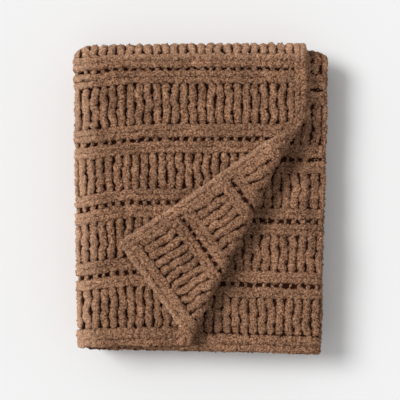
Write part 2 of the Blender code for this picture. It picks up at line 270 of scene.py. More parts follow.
@dataclass
class FoldMap:
    """Lays places of the flat cloth in the folded throw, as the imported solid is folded.

    The stations are the two ends of each strip, in order along the cloth, and the hems' places are
    given at the cloth's two side edges and at the middles of the two folds between them.
    """

    thickness: float = 0.009
    sheet_gap: float = 0.001  # the air between two sheets of a strip
    strip_gap: float = 0.0012  # the air between two strips
    back_y: float = 0.2606
    front_y: float = -0.2470
    back_corner: float = 0.030  # the radius of the stack's corners, seen from above
    front_corner: float = 0.011
    corner_ease: float = 0.2  # how much later the rounding starts, as a share of the radius
    corner_most: float = 1.4  # where it stops growing, as a share of the radius
    centring: tuple[float, float] = (0.0005, -0.00215)  # brings the middle over the origin
    crease_at_side: tuple[float, float] = (0.1755, 0.1635)
    crease_at_hem: tuple[float, float] = (-0.0479, -0.2420)
    roll: CornerRoll = CornerRoll()
    settling: Settling = Settling()
    # Painted light on the pile where it faces the light: the left fold, the back fold, the corner's
    # rim.
    pile: PaintedEdgeLight = PaintedEdgeLight()
    stations: tuple[Station, ...] = (
        Station(0.1755, -0.2030, 0.1990, -0.1900),
        Station(0.1755, -0.2095, 0.2090, -0.1960),
        Station(0.1755, -0.2085, 0.2070, -0.1935),
        Station(0.1800, -0.2000, 0.2015, -0.1890),
        Station(0.1780, -0.2010, 0.1995, -0.1880),
        Station(0.1750, -0.2060, 0.2060, -0.1920),
    )
    front_hem: tuple[float, ...] = (-0.2424, -0.2415, -0.2600, -0.2470)
    back_hem: tuple[float, ...] = (0.2410, 0.2440, 0.2380, 0.2425)

    def __post_init__(self) -> None:
        """Work out the landmarks on the flat cloth, of its folds and of its crease."""
        self.fold_reach = self.thickness + self.sheet_gap / 2
        self.strip = 3 * self.thickness + 2 * self.sheet_gap
        self.turn_reach = self.strip + self.strip_gap / 2
        self.stack = 3 * self.strip + 2 * self.strip_gap
        self.back_turn = self.back_y - self.turn_reach
        self.front_turn = self.front_y + self.turn_reach
        side, left, right, tuck = (self.mean(name) for name in ("side", "left", "right", "tuck"))
        fold = math.pi * self.fold_reach
        turn = math.pi * self.turn_reach
        self.across = running(
            (
                side - left - self.fold_reach,
                fold,
                right - left - 2 * self.fold_reach,
                fold,
                right - tuck - self.fold_reach,
            )
        )
        self.along = running(
            (
                self.back_turn - self.front_hem[0],
                turn,
                self.back_turn - self.front_turn,
                turn,
                self.back_hem[0] - self.front_turn,
            )
        )
        middle_left = (self.across[1] + self.across[2]) / 2
        middle_right = (self.across[3] + self.across[4]) / 2
        self.hem_places = (0.0, middle_left, middle_right, self.across[5])
        start, end = np.array(self.crease_at_side), np.array(self.crease_at_hem)
        self.crease_length = float(np.linalg.norm(end - start))
        self.down_crease = (end - start) / self.crease_length
        self.to_corner = np.array((-self.down_crease[1], self.down_crease[0]))
        self.turned_along = 2 * self.down_crease[1] * self.down_crease - np.array((0.0, 1.0))
        self.measure_roll()
        self.crease = self.flat_line(Side.FACE, (start, end), (start[0], end[1]))

    def measure_roll(self) -> None:
        """Work out the roll, the arc on which the corner settles after it, and where it then lies."""
        roll, sine, cosine = self.roll, math.sin(self.roll.dip), math.cos(self.roll.dip)
        self.roll_middle = roll.inner + self.thickness / 2
        self.roll_length = (math.pi + roll.dip) * self.roll_middle
        drop = self.roll_middle * (1 + cosine) - self.thickness - roll.rest_gap
        self.settle_middle = drop / (1 - cosine)
        self.settle_length = self.settle_middle * roll.dip
        self.settle_place = -(self.roll_middle + self.settle_middle) * sine
        self.settle_height = roll.inner + (self.roll_middle + self.settle_middle) * cosine
        self.slack = self.roll_length + self.settle_length + self.settle_place
        self.rest_middle = roll.rest_gap + self.thickness / 2

    def mean(self, column: str) -> float:
        """Return the mean of one column of the station table."""
        return sum(getattr(row, column) for row in self.stations) / len(self.stations)

    def edge_x(self, column: str, v: Array) -> Array:
        """Return where an edge or fold lies across X at a distance along the cloth."""
        return blend(v, self.along, [getattr(row, column) for row in self.stations])

    def fold_across(self, u: Array, v: Array, w: Array) -> tuple[Array, Array]:
        """Lay places in their sheets.

        Args:
            u: Distances across the cloth.
            v: Distances along the cloth.
            w: Depths under the cloth's face.

        Returns:
            Each place's X, and its depth under the upper face of its strip.
        """
        stretch, part = stretch_of(u, self.across)
        side, tuck = self.edge_x("side", v), self.edge_x("tuck", v)
        left = self.edge_x("left", v) + self.fold_reach
        right = self.edge_x("right", v) - self.fold_reach
        sine, cosine = np.sin(math.pi * part), np.cos(math.pi * part)
        outer, inner = self.fold_reach - w, self.sheet_gap / 2 + w
        lowest = 2 * self.fold_reach + self.sheet_gap / 2
        x = np.choose(
            stretch,
            (
                side + (left - side) * part,
                left - outer * sine,
                left + (right - left) * part,
                right + inner * sine,
                right + (tuck - right) * part,
            ),
        )
        depth = np.choose(
            stretch,
            (
                w,
                self.fold_reach - outer * cosine,
                2 * self.fold_reach - w,
                lowest - inner * cosine,
                lowest + self.sheet_gap / 2 + w,
            ),
        )
        return x, depth

    def fold_along(self, u: Array, v: Array, depth: Array) -> tuple[Array, Array]:
        """Lay places of a folded strip in the stack.

        Args:
            u: Distances across the cloth.
            v: Distances along the cloth.
            depth: Depths under the upper face of the strip.

        Returns:
            Each place's Y and Z.
        """
        stretch, part = stretch_of(v, self.along)
        front = blend(u, self.hem_places, self.front_hem)
        back = blend(u, self.hem_places, self.back_hem)
        sine, cosine = np.sin(math.pi * part), np.cos(math.pi * part)
        outer, inner = self.turn_reach - depth, self.strip_gap / 2 + depth
        y = np.choose(
            stretch,
            (
                front + (self.back_turn - front) * part,
                self.back_turn + outer * sine,
                self.back_turn + (self.front_turn - self.back_turn) * part,
                self.front_turn - inner * sine,
                self.front_turn + (back - self.front_turn) * part,
            ),
        )
        z = np.choose(
            stretch,
            (
                self.stack - depth,
                self.stack - self.turn_reach + outer * cosine,
                self.stack - 2 * self.turn_reach + depth,
                self.turn_reach + inner * cosine,
                self.strip - depth,
            ),
        )
        return y, z

    def roll_over(self, past: Array, w: Array) -> tuple[Array, Array]:
        """Roll places of the top sheet over the crease and lay them down again on the sheet.

        Args:
            past: How far each place lies past the crease before the corner is turned back.
            w: Depths under the cloth's face.

        Returns:
            How far past the crease each place comes to lie, and its depth under the top sheet's face.
        """
        reach, turn = self.roll.inner + w, past / self.roll_middle
        settled = past - self.roll_length
        far_reach = self.settle_middle + self.thickness / 2 - w
        far_turn = np.clip(self.roll.dip - settled / self.settle_middle, 0, self.roll.dip)
        laid = np.maximum(settled - self.settle_length, 0)
        in_roll = settled < 0
        settled_shift = self.settle_place + far_reach * np.sin(far_turn) - laid
        settled_depth = far_reach * np.cos(far_turn) - self.settle_height
        shift = np.where(in_roll, reach * np.sin(turn), settled_shift)
        depth = np.where(in_roll, reach * np.cos(turn) - self.roll.inner, settled_depth)
        return shift, depth

    def turn_back(self, u: Array, w: Array, past: Array, down: Array) -> tuple[Array, Array, Array]:
        """Turn the corner back, with the roll's lifts, leans, overhangs and pinched ends.

        Args:
            u: Distances across the cloth.
            w: Depths under the cloth's face.
            past: How far each place lies past the crease before the corner is turned back.
            down: How far it lies down the crease from the side edge.

        Returns:
            How far each place moves along X and along Y, and the Z it comes to.
        """
        roll, share = self.roll, down / self.crease_length
        shift, depth = self.roll_over(past, w)
        over = np.maximum(-self.roll_over(past, self.thickness / 2)[1] - self.rest_middle, 0)
        lift = roll.read(roll.lifts, share)
        depth = depth + over * (roll.pinch(down, self.crease_length) * (1 + lift) - lift)
        lean = roll.read(roll.leans, share) * smooth(past / roll.lean_reach)
        shift = np.where(shift > 0, shift * roll.read(roll.overhangs, share), shift) - lean
        skew = roll.skew * u * smooth(past / roll.skew_reach)
        move = [self.to_corner[i] * (shift - past) + self.turned_along[i] * skew for i in (0, 1)]
        return move[0], move[1], self.stack - depth

    def settle(self, x: Array, y: Array, z: Array) -> tuple[Array, Array, Array]:
        """Let the stack settle where nothing holds it.

        Args:
            x: Places across the folded throw.
            y: Places along it.
            z: Their heights.

        Returns:
            X, Y and Z after the cloth has settled.
        """
        settling = self.settling
        sag = settling.sag(x, y)
        x = x + settling.spread * sag / settling.drop
        leftward = -x / self.mean("right")
        by_back = np.clip(y / self.back_y, 0, 1) ** settling.droop_power
        by_front = np.clip(y / self.front_y, 0, 1) ** settling.droop_power
        y = y - settling.back_droop * np.clip(leftward, 0, 1) * by_back
        y = y - settling.front_droop * np.clip(leftward, -settling.front_fill, 1) * by_front
        return x, y, z * (1 - sag / self.stack)

    def round_corners(self, x: Array, y: Array) -> tuple[Array, Array]:
        """Round the stack's four corners as they are seen from above.

        Args:
            x: Places across the folded throw.
            y: Places along it.

        Returns:
            X and Y with the corners drawn in.
        """
        corner = np.where(y > 0, self.back_corner, self.front_corner)
        inside = 1 - self.corner_ease
        over_x = np.clip((np.abs(x) - self.mean("right")) / corner + inside, 0, self.corner_most)
        over_y = np.clip((np.abs(y) - self.back_y) / corner + inside, 0, self.corner_most)
        in_x = corner * over_x * (1 - np.sqrt(1 - over_y**2 / 2))
        in_y = corner * over_y * (1 - np.sqrt(1 - over_x**2 / 2))
        return x - np.sign(x) * in_x, y - np.sign(y) * in_y

    def place(self, u: Array, v: Array, w: Array) -> Array:
        """Return where places of the flat cloth lie in the folded throw.

        Args:
            u: Distances across the cloth.
            v: Distances along the cloth.
            w: Depths under the cloth's face.

        Returns:
            One row of X, Y and Z for each place.
        """
        x, depth = self.fold_across(u, v, w)
        y, z = self.fold_along(u, v, depth)
        from_side = np.column_stack((x, y)) - self.crease_at_side
        past, down = from_side @ self.to_corner, from_side @ self.down_crease
        is_rolled = (u < self.across[1]) & (v < self.along[1]) & (past > 0)
        move_x, move_y, rolled_z = self.turn_back(u, w, past, down)
        dent = self.roll.dent(past, down / self.crease_length)
        x = np.where(is_rolled, x + move_x, x)
        y = np.where(is_rolled, y + move_y, y)
        z = np.where(is_rolled, rolled_z, z * (1 - dent / self.stack))
        x, y, z = self.settle(x, y, z)
        x, y = self.round_corners(x, y)
        return np.column_stack((x + self.centring[0], y + self.centring[1], z))

    def nap(self, u: Array, v: Array) -> Array:
        """Return how much light is painted on the pile, where it faces the light.

        Args:
            u: Distances across the cloth.
            v: Distances along the cloth.

        Returns:
            1 round the top sheet's left fold, down to 0 where no light is painted.
        """
        pile = self.pile
        from_left = np.clip(self.across[1] - u, 0, None) / pile.fold_reach
        from_back = np.clip(self.along[1] + pile.back_start - v, 0, None) / pile.back_reach
        from_rim = np.minimum(u, v) / pile.rim_reach
        by_fold = np.maximum(np.exp(-(from_left**2)), pile.back_share * np.exp(-(from_back**2)))
        is_turned = self.crease.past(u, v) > self.roll_length
        by_rim = np.where(is_turned, pile.rim_share * np.exp(-(from_rim**2)), 0.0)
        return np.where(u < self.across[2], np.maximum(by_fold, by_rim), 0.0)

    def flat_place(self, side: Side, plan: Sequence[float]) -> Array:
        """Return where a place seen from above lies on the flat cloth.

        Args:
            side: FACE for the top sheet, BACK for the second one.
            plan: The place's X and Y before centring.

        Returns:
            The place's U and V.
        """
        u, v = 0.0, 0.0
        # The edges slant, so U and V depend on each other. Each round finds both more closely.
        for _ in range(6):
            front = float(blend(np.array(u), self.hem_places, self.front_hem))
            v = (plan[1] - front) / (self.back_turn - front) * self.along[1]
            edge = float(self.edge_x("side", np.array(v)))
            left = float(self.edge_x("left", np.array(v))) + self.fold_reach
            right = float(self.edge_x("right", np.array(v))) - self.fold_reach
            if side is Side.FACE:
                u = (plan[0] - edge) / (left - edge) * self.across[1]
            else:
                width = self.across[3] - self.across[2]
                u = self.across[2] + (plan[0] - left) / (right - left) * width
        return np.array((u, v))

    def flat_line(self, side: Side, ends: Sequence[Sequence[float]], beyond: Sequence[float]) -> Line:
        """Return the line on the flat cloth between two places seen from above.

        Args:
            side: FACE for the top sheet, BACK for the second one.
            ends: The X and Y of the line's two ends.
            beyond: The X and Y of a place on the side that counts as past the line.

        Returns:
            The line.
        """
        first, last, far = (self.flat_place(side, plan) for plan in (*ends, beyond))
        direction = (last - first) / np.linalg.norm(last - first)
        normal = np.array((-direction[1], direction[0]))
        return Line(first, normal if (far - first) @ normal > 0 else -normal)

    def is_under_corner(self, u: Array, v: Array, margin: float) -> Array:
        """Tell which places of the top sheet lie under the turned-back corner.

        Args:
            u: Distances across the cloth.
            v: Distances along the cloth.
            margin: How far in from the corner's own edges a place has to lie.

        Returns:
            True for each place that the corner covers.
        """
        back = self.slack - 2 * self.crease.past(u, v)
        over_u, over_v = u + self.crease.normal[0] * back, v + self.crease.normal[1] * back
        return (over_u > margin) & (over_v > margin)


@dataclass(frozen=True)
class SheetKnit:
    """How one sheet's knitting differs from band to band: its rows' closeness, its wales' drift."""

    closeness: tuple[float, ...]
    drifts: tuple[float, ...]


SHEET_KNITS = {
    Sheet.TOP: SheetKnit((1.0, 1.0, 1.0, 1.0, 1.0), (0.0012, 0.0033, 0.0063, -0.0013, 0.0)),
    Sheet.TURNED: SheetKnit((0.91, 0.91, 0.91, 0.91, 0.91), (-0.0041, -0.0044, -0.0042, 0.0, 0.0)),
    Sheet.SECOND: SheetKnit((0.90, 0.91, 0.96, 0.97, 0.92), (-0.0066, -0.0020, 0.0008, 0.0025, 0.0)),
}


@dataclass
class Knitting:
    """The rows and wales of the knitting, on the flat cloth.

    A band has bars, a cord, a ladder gap and a second cord, and its four lengths stand in that order.
    The sag tables say how far rows of the top sheet drop by its left fold and how far in from there
    they do, at places along the cloth. The pull tables say how far they rise at the crease's root.
    """

    cloth: FoldMap
    selvage: float = 0.0185
    top_wales: int = 24
    second_wales: int = 26
    edge_margin: float = 0.010  # what the third sheet's edge leaves free of wales
    hem_cords: tuple[float, float] = (0.0135, 0.0165)
    least_row: float = 0.004  # less than this before the far hem is no row
    bands: tuple[tuple[float, float, float, float], ...] = (
        (0.071, 0.015, 0.012, 0.018),
        (0.068, 0.0175, 0.012, 0.0155),
        (0.063, 0.0165, 0.010, 0.0185),
        (0.0705, 0.0185, 0.008, 0.021),
        (0.064, 0.018, 0.010, 0.020),
    )
    sag_places: tuple[float, ...] = (0.0, 0.122, 0.238, 0.344, 0.430, 0.460, 0.600, 0.700)
    sag_drops: tuple[float, ...] = (0.001, 0.0105, 0.0135, 0.0115, 0.0110, 0.0060, 0.006, 0.0)
    sag_reaches: tuple[float, ...] = (0.080, 0.085, 0.078, 0.140, 0.120, 0.060, 0.050, 0.050)
    sag_power: float = 1.4
    pull_places: tuple[float, ...] = (0.317, 0.345, 0.367, 0.433)
    pull_rises: tuple[float, ...] = (0.0, 0.016, 0.021, 0.0)
    pull_reach: float = 0.052  # how far in from the side edge rows are pulled up

    def rows(self, sheet: Sheet) -> list[Row]:
        """List the rows of a sheet from one hem to the other.

        Args:
            sheet: The layout that they follow.

        Returns:
            The rows, in order along the cloth.
        """
        closeness = SHEET_KNITS[sheet].closeness
        end = self.cloth.along[-1]
        last = end - sum(self.hem_cords)
        found, place = [], 0.0
        for length in self.hem_cords:
            found.append(Row(Stitch.HEM, place, place + length * closeness[0]))
            place = found[-1].end
        stitches = (Stitch.BARS, Stitch.CORD, Stitch.GAP, Stitch.CORD)
        pattern = (
            (stitch, length * close)
            for lengths, close in cycle(zip(self.bands, closeness))
            for stitch, length in zip(stitches, lengths)
        )
        while place < last - self.least_row:
            stitch, length = next(pattern)
            found.append(Row(stitch, place, min(place + length, last)))
            place = found[-1].end
        found.append(Row(Stitch.HEM, last, end - self.hem_cords[0]))
        found.append(Row(Stitch.HEM, end - self.hem_cords[0], end))
        return found

    def sag(self, u: Array, v: Array) -> Array:
        """Return how far rows of the top sheet sag by the left fold or are pulled up at the root.

        Args:
            u: Distances across the cloth.
            v: Distances along the cloth.

        Returns:
            How far each place moves along the cloth, less than 0 towards the front.
        """
        drop = np.interp(v, self.sag_places, self.sag_drops)
        reach = np.interp(v, self.sag_places, self.sag_reaches)
        near = np.clip(1 - (self.cloth.across[1] - u) / reach, 0, 1)
        pulled = np.clip(1 - u / self.pull_reach, 0, 1)
        rise = np.interp(v, self.pull_places, self.pull_rises)
        return rise * pulled**2 - drop * near**self.sag_power

    def drift(self, sheet: Sheet, v: Array) -> Array:
        """Return how far a sheet's wales stand aside, band by band.

        Args:
            sheet: The layout that they follow.
            v: Distances along the cloth.

        Returns:
            How far a wale moves across the cloth at each distance.
        """
        drifts = SHEET_KNITS[sheet].drifts
        bars = [row for row in self.rows(sheet) if row.stitch is Stitch.BARS]
        places = [place for row in bars for place in (row.start, row.end)]
        return np.interp(v, places, [drifts[i // 2 % len(drifts)] for i in range(len(places))])

    def pitch(self, sheet: Sheet) -> float:
        """Return how far apart the wales of a sheet lie.

        Args:
            sheet: The layout that they follow. The turned corner has the top sheet's.

        Returns:
            The distance from the middle of one wale to the next.
        """
        across = self.cloth.across
        if sheet is Sheet.SECOND:
            return (across[3] - across[2]) / self.second_wales
        return (across[1] - self.selvage) / self.top_wales

    def wales(self, sheet: Sheet) -> Array:
        """Return the middles of a sheet's wales, with the two that go round each of its folds.

        Args:
            sheet: TOP for the top sheet, SECOND for the second and third ones.

        Returns:
            Their distances across the cloth.
        """
        across, pitch, quarters = self.cloth.across, self.pitch(sheet), np.array((0.25, 0.75))
        if sheet is Sheet.TOP:
            top = self.selvage + pitch * (np.arange(self.top_wales) + 0.5)
            return np.concatenate((top, across[1] + (across[2] - across[1]) * quarters))
        second = across[2] + pitch * (np.arange(self.second_wales) + 0.5)
        fold = across[3] + (across[4] - across[3]) * quarters
        third = np.arange(across[4] + pitch / 2, across[5] - self.edge_margin, pitch)
        return np.concatenate((second, fold, third))


@dataclass(frozen=True)
class Wave:
    """A slow unevenness: about how long one wave is, and about how far it goes."""

    length: float
    amount: float


@dataclass(frozen=True)
class Strand:
    """One yarn as it runs over the flat cloth, with a value for each step of its middle line.

    Attributes:
        u: Its middle line across the cloth.
        v: Its middle line along the cloth.
        half_width: Half of its width.
        middle: The height of its widest place over the middle of the cloth.
        rise: How far it stands over its widest place.
        drop: How far it reaches under its widest place.
        shade: How much lighter this yarn is than the rest.
        square: The power of its section's outline: 2 for an ellipse, more for a squarer one.
        exposed: How much less painted shade its flanks get, as those of an edge lie open to the
            light.
    """

    u: Array
    v: Array
    half_width: Array
    middle: Array
    rise: Array
    drop: Array
    shade: float = 0.0
    square: float = 2.0
    exposed: float = 0.0

    def between(self, start: int, end: int) -> Self:
        """Return the length between two of its steps."""
        names = ("u", "v", "half_width", "middle", "rise", "drop")
        return replace(self, **{name: getattr(self, name)[start:end] for name in names})


@dataclass
class YarnBundle:
    """Collects yarns that are shaped on the flat cloth, and makes them one mesh in the fold.

    A yarn is a closed tube with a ring of points at each step. Most of them go round its upper side
    and a flank past its widest place, and few go under it, where nothing shows. Crumbs of pile push
    every upper point in or out a little.
    """

    cloth: FoldMap
    name: str
    side: Side
    seed: int
    step: float = 0.0020
    least_steps: int = 3
    over: int = 9  # the points of a ring over and under its flanks
    under: int = 4
    flank: float = 0.12  # how far past its widest place the upper points go, in radians
    crumb: float = 0.00095
    end_reach: float = 0.005  # the length over which an end is rounded
    end_least: float = 0.10  # the square of its last ring's size, as a share
    tip: float = 0.0012  # how far its point stands out
    least_height: float = 0.0002  # over the floor
    ripples: tuple[float, ...] = (0.61, 1.0, 1.53)  # the lengths that a wave is mixed from
    ripple_sizes: tuple[float, float] = (0.6, 1.0)
    ripple_share: float = 1 / 1.4
    places: list[Array] = field(default_factory=list)
    faces: list[Array] = field(default_factory=list)
    # How high on its section each point lies; the material paints shade where this is low.
    tips: list[Array] = field(default_factory=list)
    shades: list[Array] = field(default_factory=list)
    painted_lights: list[Array] = field(default_factory=list)
    count: int = 0

    def __post_init__(self) -> None:
        """Seed the yarns' own unevenness and count the points of a ring."""
        self.rng = np.random.default_rng(self.seed)
        self.around = self.over + self.under

    def samples(self, start: float, end: float) -> Array:
        """Return evenly spaced places from start to end, a step apart."""
        steps = max(int(round((end - start) / self.step)), self.least_steps)
        return np.linspace(start, end, steps + 1)

    def wander(self, along: Array, *waves: Wave) -> Array:
        """Return an uneven line, drawn anew at each call.

        Args:
            along: Distances along the yarn.
            waves: The unevennesses that it is made of.

        Returns:
            How far the line goes at each distance.
        """
        line = np.zeros_like(along)
        for wave in waves:
            for ripple in self.ripples:
                phase = self.rng.uniform(0, 2 * math.pi)
                size = wave.amount * self.ripple_share * self.rng.uniform(*self.ripple_sizes)
                line += size * np.sin(2 * math.pi * along / (wave.length * ripple) + phase)
        return line

    def add(self, strand: Strand, keep: Keep | None = None) -> None:
        """Add a yarn, in as many closed lengths as show.

        Args:
            strand: The yarn.
            keep: Tells which places show. Everything does when it is not given.
        """
        shown = np.ones(len(strand.u), bool) if keep is None else keep(strand.u, strand.v)
        edges = np.flatnonzero(np.diff(np.concatenate(([0], shown.astype(int), [0]))))
        for start, end in zip(edges[::2], edges[1::2]):
            if end - start > self.least_steps:
                self.add_length(strand.between(start, end))

    def section(self, square: float) -> tuple[Array, Array]:
        """Return the outline of a yarn's section.

        Args:
            square: The power of its outline.

        Returns:
            How far each point of a ring stands out and up, as shares of the half width and height.
        """
        upper = np.linspace(-self.flank, math.pi + self.flank, self.over)
        lower = np.linspace(math.pi + self.flank, 2 * math.pi - self.flank, self.under + 2)[1:-1]
        angle = np.concatenate((upper, lower))
        out = np.cos(angle)
        return out, np.sign(np.sin(angle)) * (1 - np.abs(out) ** square) ** (1 / square)

    def tube(self, rings: int) -> Array:
        """Return the faces of a closed tube, whose two end points come after its rings.

        Args:
            rings: How many rings the tube has.

        Returns:
            Four points for each face. A face at the tube's ends has its end point twice.
        """
        ring = np.arange(rings - 1)[:, None] * self.around
        spot = np.arange(self.around)
        after = (spot + 1) % self.around
        wall = (ring + spot, ring + after, ring + self.around + after, ring + self.around + spot)
        quads = np.stack(wall, axis=-1).reshape(-1, 4)
        tip = np.full_like(spot, rings * self.around)
        far = (rings - 1) * self.around
        start_cap = np.column_stack((after, spot, tip, tip))
        end_cap = np.column_stack((far + spot, far + after, tip + 1, tip + 1))
        return np.concatenate((quads, start_cap, end_cap))

    def add_length(self, strand: Strand) -> None:
        """Add one closed length of yarn, with rounded ends.

        Args:
            strand: The length.
        """
        u, v, rings = strand.u, strand.v, len(strand.u)
        tangent = np.column_stack((np.gradient(u), np.gradient(v)))
        tangent /= np.linalg.norm(tangent, axis=1, keepdims=True)
        run = np.concatenate(([0], np.cumsum(np.hypot(np.diff(u), np.diff(v)))))
        from_end = np.clip(np.minimum(run, run[-1] - run) / self.end_reach, 0, 1)
        ease = np.sqrt(np.clip(1 - (1 - from_end) ** 2, self.end_least, 1))[:, None]
        out, up = self.section(strand.square)
        # Crumbs fade out under the yarn, where up goes below 0.
        size = np.clip(up + 0.5, 0, 1) * ease
        crumb = self.rng.normal(0, self.crumb, (rings, self.around)) * size
        lateral = (strand.half_width[:, None] * ease + crumb) * out
        reach = np.where(up > 0, strand.rise[:, None], strand.drop[:, None]) * ease
        height = strand.middle[:, None] + (reach + crumb) * up
        rings_u = u[:, None] - tangent[:, 1:] * lateral
        rings_v = v[:, None] + tangent[:, :1] * lateral
        ends = [0, -1]
        tips = tangent[ends] * ((-self.tip,), (self.tip,))
        flat_u = np.concatenate((rings_u.ravel(), u[ends] + tips[:, 0]))
        flat_v = np.concatenate((rings_v.ravel(), v[ends] + tips[:, 1]))
        height = np.concatenate((height.ravel(), strand.middle[ends]))
        places = self.cloth.place(flat_u, flat_v, self.cloth.thickness / 2 + self.side.value * height)
        places[:, 2] = np.maximum(places[:, 2], self.least_height)
        # How high on its section each point lies, more on an edge's open flanks: shade is painted
        # where low.
        unshaded = np.tile(np.clip(up + strand.exposed, 0, 1), rings)
        self.places.append(places)
        self.tips.append(np.concatenate((unshaded, (strand.exposed, strand.exposed))))
        self.shades.append(np.full(len(flat_u), strand.shade))
        self.painted_lights.append(self.cloth.nap(flat_u, flat_v))
        self.faces.append(self.tube(rings) + self.count)
        self.count += len(flat_u)

    def build(self, material: bpy.types.Material) -> bpy.types.Object:
        """Make the collected yarns one piece, with attributes for painted shade, their own shades and
        painted light.

        Args:
            material: The yarns' material.

        Returns:
            The piece.
        """
        faces = np.concatenate(self.faces)
        if self.side is Side.BACK:
            faces = faces[:, ::-1]
        mesh = bpy.data.meshes.new(self.name)
        rows = [list(dict.fromkeys(face)) for face in faces.tolist()]
        mesh.from_pydata(np.concatenate(self.places).tolist(), [], rows)
        for name, values in (("tip", self.tips), ("shade", self.shades), ("nap", self.painted_lights)):
            attribute = mesh.attributes.new(name, "FLOAT", "POINT")
            attribute.data.foreach_set("value", np.concatenate(values).astype(np.float32))
        return add_piece(mesh, material)


def add_piece(mesh: bpy.types.Mesh, material: bpy.types.Material) -> bpy.types.Object:
    """Make a mesh a smooth piece of the scene, with the mesh's own name.

    Args:
        mesh: The piece's mesh.
        material: Its material.

    Returns:
        The piece.
    """
    mesh.polygons.foreach_set("use_smooth", np.ones(len(mesh.polygons), bool))
    mesh.materials.append(material)
    mesh.update()
    piece = bpy.data.objects.new(mesh.name, mesh)
    bpy.context.scene.collection.objects.link(piece)
    return piece


@dataclass(frozen=True)
class Gauge:
    """How the yarns of a zone are laid.

    Fullness is half of a bar's width as a share of its wale. Rise, middle and drop are heights, as a
    strand has them. Lift says how much of the relief stays when the yarns are pressed. A cord spills
    a little over a ladder gap, and a link crosses it, as wide and tall as the shares allow.
    """

    fullness: float = 0.460
    rise: float = 0.0061
    middle: float = 0.0012
    drop: float = 0.0046
    lift: float = 1.0
    rim_sink: float = 0.0012
    spill: float = 0.0010
    link_width: tuple[float, float] = (0.38, 0.80)
    link_height: tuple[float, float] = (0.45, 0.88)


RAISED = Gauge()
LOWER = Gauge(
    fullness=0.482, rise=0.0054, middle=0.0003, rim_sink=0.0, spill=0.0009, link_width=(0.38, 0.74)
)
TURNED = Gauge(fullness=0.492, spill=0.0018, link_width=(0.30, 0.60), link_height=(0.10, 0.50))
PRESSED = Gauge(rise=0.0042, middle=0.0003, drop=0.0042, lift=0.2, rim_sink=0.0)


@dataclass(frozen=True)
class Zone:
    """One piece of yarns: where it lies, what of it shows and how finely it is made."""

    name: str
    side: Side
    sheet: Sheet
    seed: int
    gauge: Gauge = RAISED
    keep: Keep | None = None
    coarse: float = 1.0


@dataclass
class BarYarns:
    """The yarns that run along the cloth: bars, and the links that cross the ladder gaps.

    A bar's end opens in steps, each with how far in it lies and with its width and height as shares
    of the bar's own, and a neck halfway to its full size. Neighbouring wales sway together a little,
    and each one also wanders and swells by itself.
    """

    bundle: YarnBundle
    knitting: Knitting
    zone: Zone
    end_length: float = 0.0095
    end_steps: tuple[tuple[float, float, float], ...] = ((-0.0025, 0.55, 0.25), (0.0012, 0.66, 0.70))
    neck: tuple[float, float] = (0.92, 0.96)
    link_end: tuple[float, float, float] = (-0.002, 1.1, 0.25)  # as a step of a bar's end
    link_top: float = 0.001  # half of the length that a link stands at its full height
    square: float = 2.2
    sway: Wave = Wave(0.043, 0.0016)
    sway_across: float = 0.19  # how far across the cloth the sway repeats
    sway_patch: tuple[float, float] = (0.31, 0.09)  # the length and width over which it fades
    wander: Wave = Wave(0.030, 0.0010)
    lumps: tuple[Wave, ...] = (Wave(0.021, 0.080), Wave(0.009, 0.060))
    swell: Wave = Wave(0.017, 0.06)
    lump_height: float = 0.6  # how much a lump raises the yarn for what it widens it
    valley: float = 0.0030  # how far the yarn sinks between two bars
    least_rise: float = 0.55  # what is left of its rise and drop there
    least_drop: float = 0.6
    shade_spread: float = 0.35

    def keys(self, u: float) -> Array:
        """List the places where a wale's shape changes.

        Args:
            u: The wale's middle across the cloth.

        Returns:
            A row for each place: V, half width, and how much of its full height it has.
        """
        gauge, rng = self.zone.gauge, self.bundle.rng
        full = self.knitting.pitch(self.zone.sheet) * gauge.fullness
        found = []
        for row in self.knitting.rows(self.zone.sheet):
            start, end = row.start, row.end
            if self.zone.sheet is not Sheet.SECOND:
                ends = np.array((start, end))
                start, end = ends + self.knitting.sag(np.full(2, u), ends)
            if row.stitch is Stitch.BARS:
                ease = min(self.end_length, (end - start) / 3)
                steps = (*self.end_steps, (ease / 2, *self.neck), (ease, 1.0, 1.0))
            elif row.stitch is Stitch.GAP:
                wide = float(rng.uniform(*gauge.link_width))
                tall = float(rng.uniform(*gauge.link_height))
                inset, spread, low = self.link_end
                top = (end - start) / 2 - self.link_top
                steps = ((inset, wide * spread, low), (top, wide, tall))
            else:
                continue
            found += [(start + inset, full * width, height) for inset, width, height in steps]
            found += [(end - inset, full * width, height) for inset, width, height in reversed(steps)]
        return np.array(found)

    def add_wale(self, u: float, start: float, end: float) -> None:
        """Add one wale.

        Args:
            u: The wale's middle across the cloth.
            start: Where it starts along the cloth.
            end: Where it ends.
        """
        bundle, gauge = self.bundle, self.zone.gauge
        v = bundle.samples(start, end)
        places, widths, shares = self.keys(u).T
        share = np.interp(v, places, shares)
        turn = 2 * math.pi
        patch = np.sin(turn * (v / self.sway_patch[0] + u / self.sway_patch[1]))
        sway = self.sway.amount * np.sin(turn * (v / self.sway.length + u / self.sway_across)) * patch
        side = sway + bundle.wander(v, self.wander)
        lumps = bundle.wander(v, *self.lumps)
        rise = gauge.rise * (1 + self.lump_height * (bundle.wander(v, self.swell) + lumps))
        strand = Strand(
            u=u + self.knitting.drift(self.zone.sheet, v) + side * share,
            v=v,
            half_width=np.interp(v, places, widths) * (1 + lumps),
            middle=gauge.middle - (1 - share) * self.valley * gauge.lift,
            rise=rise * (self.least_rise + (1 - self.least_rise) * share),
            drop=gauge.drop * (self.least_drop + (1 - self.least_drop) * share),
            shade=float(bundle.rng.normal(0, self.shade_spread)),
            square=self.square,
        )
        bundle.add(strand, self.zone.keep)


